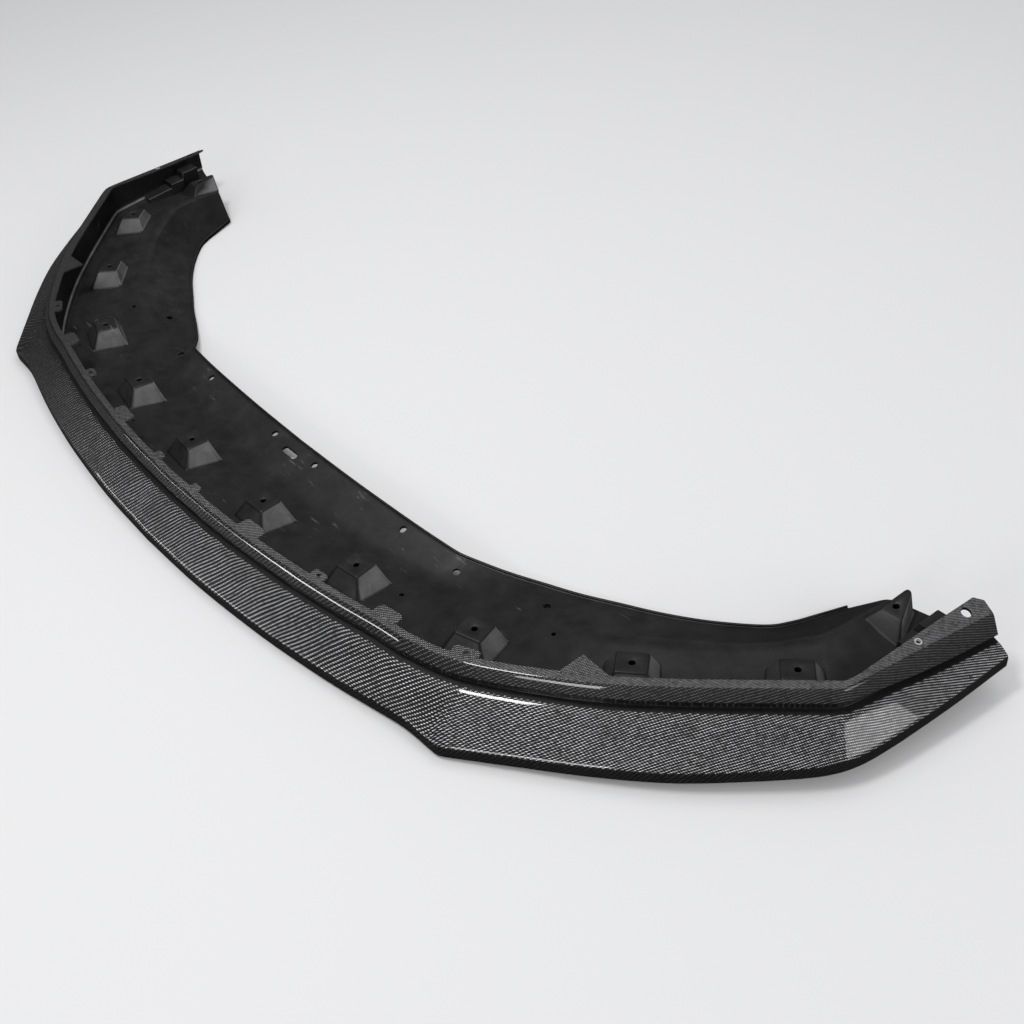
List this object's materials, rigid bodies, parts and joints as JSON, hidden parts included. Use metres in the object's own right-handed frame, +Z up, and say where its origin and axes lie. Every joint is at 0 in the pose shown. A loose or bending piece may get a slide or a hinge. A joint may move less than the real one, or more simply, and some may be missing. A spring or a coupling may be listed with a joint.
{
  "type": "front splitter lip",
  "caption": "Carbon-fibre front splitter lip bonded to a black moulded undertray with screw bosses and wheel-side wings.",
  "frame": {"origin": "centre of the part's box on the ground it rests on, on the car's mid-plane", "axes": "+X across the car; +Y rearwards, so the blade's front edge faces -Y; +Z up"},
  "size_m": [1.864, 0.6074, 0.094],
  "materials": {
    "carbon_twill": "gloss clear coat over twill carbon fibre",
    "black_plastic": "satin moulded"
  },
  "bodies": {
    "root": {"carbon_lip": "carbon_twill", "undertray": "black_plastic"}
  },
  "joints": []
}
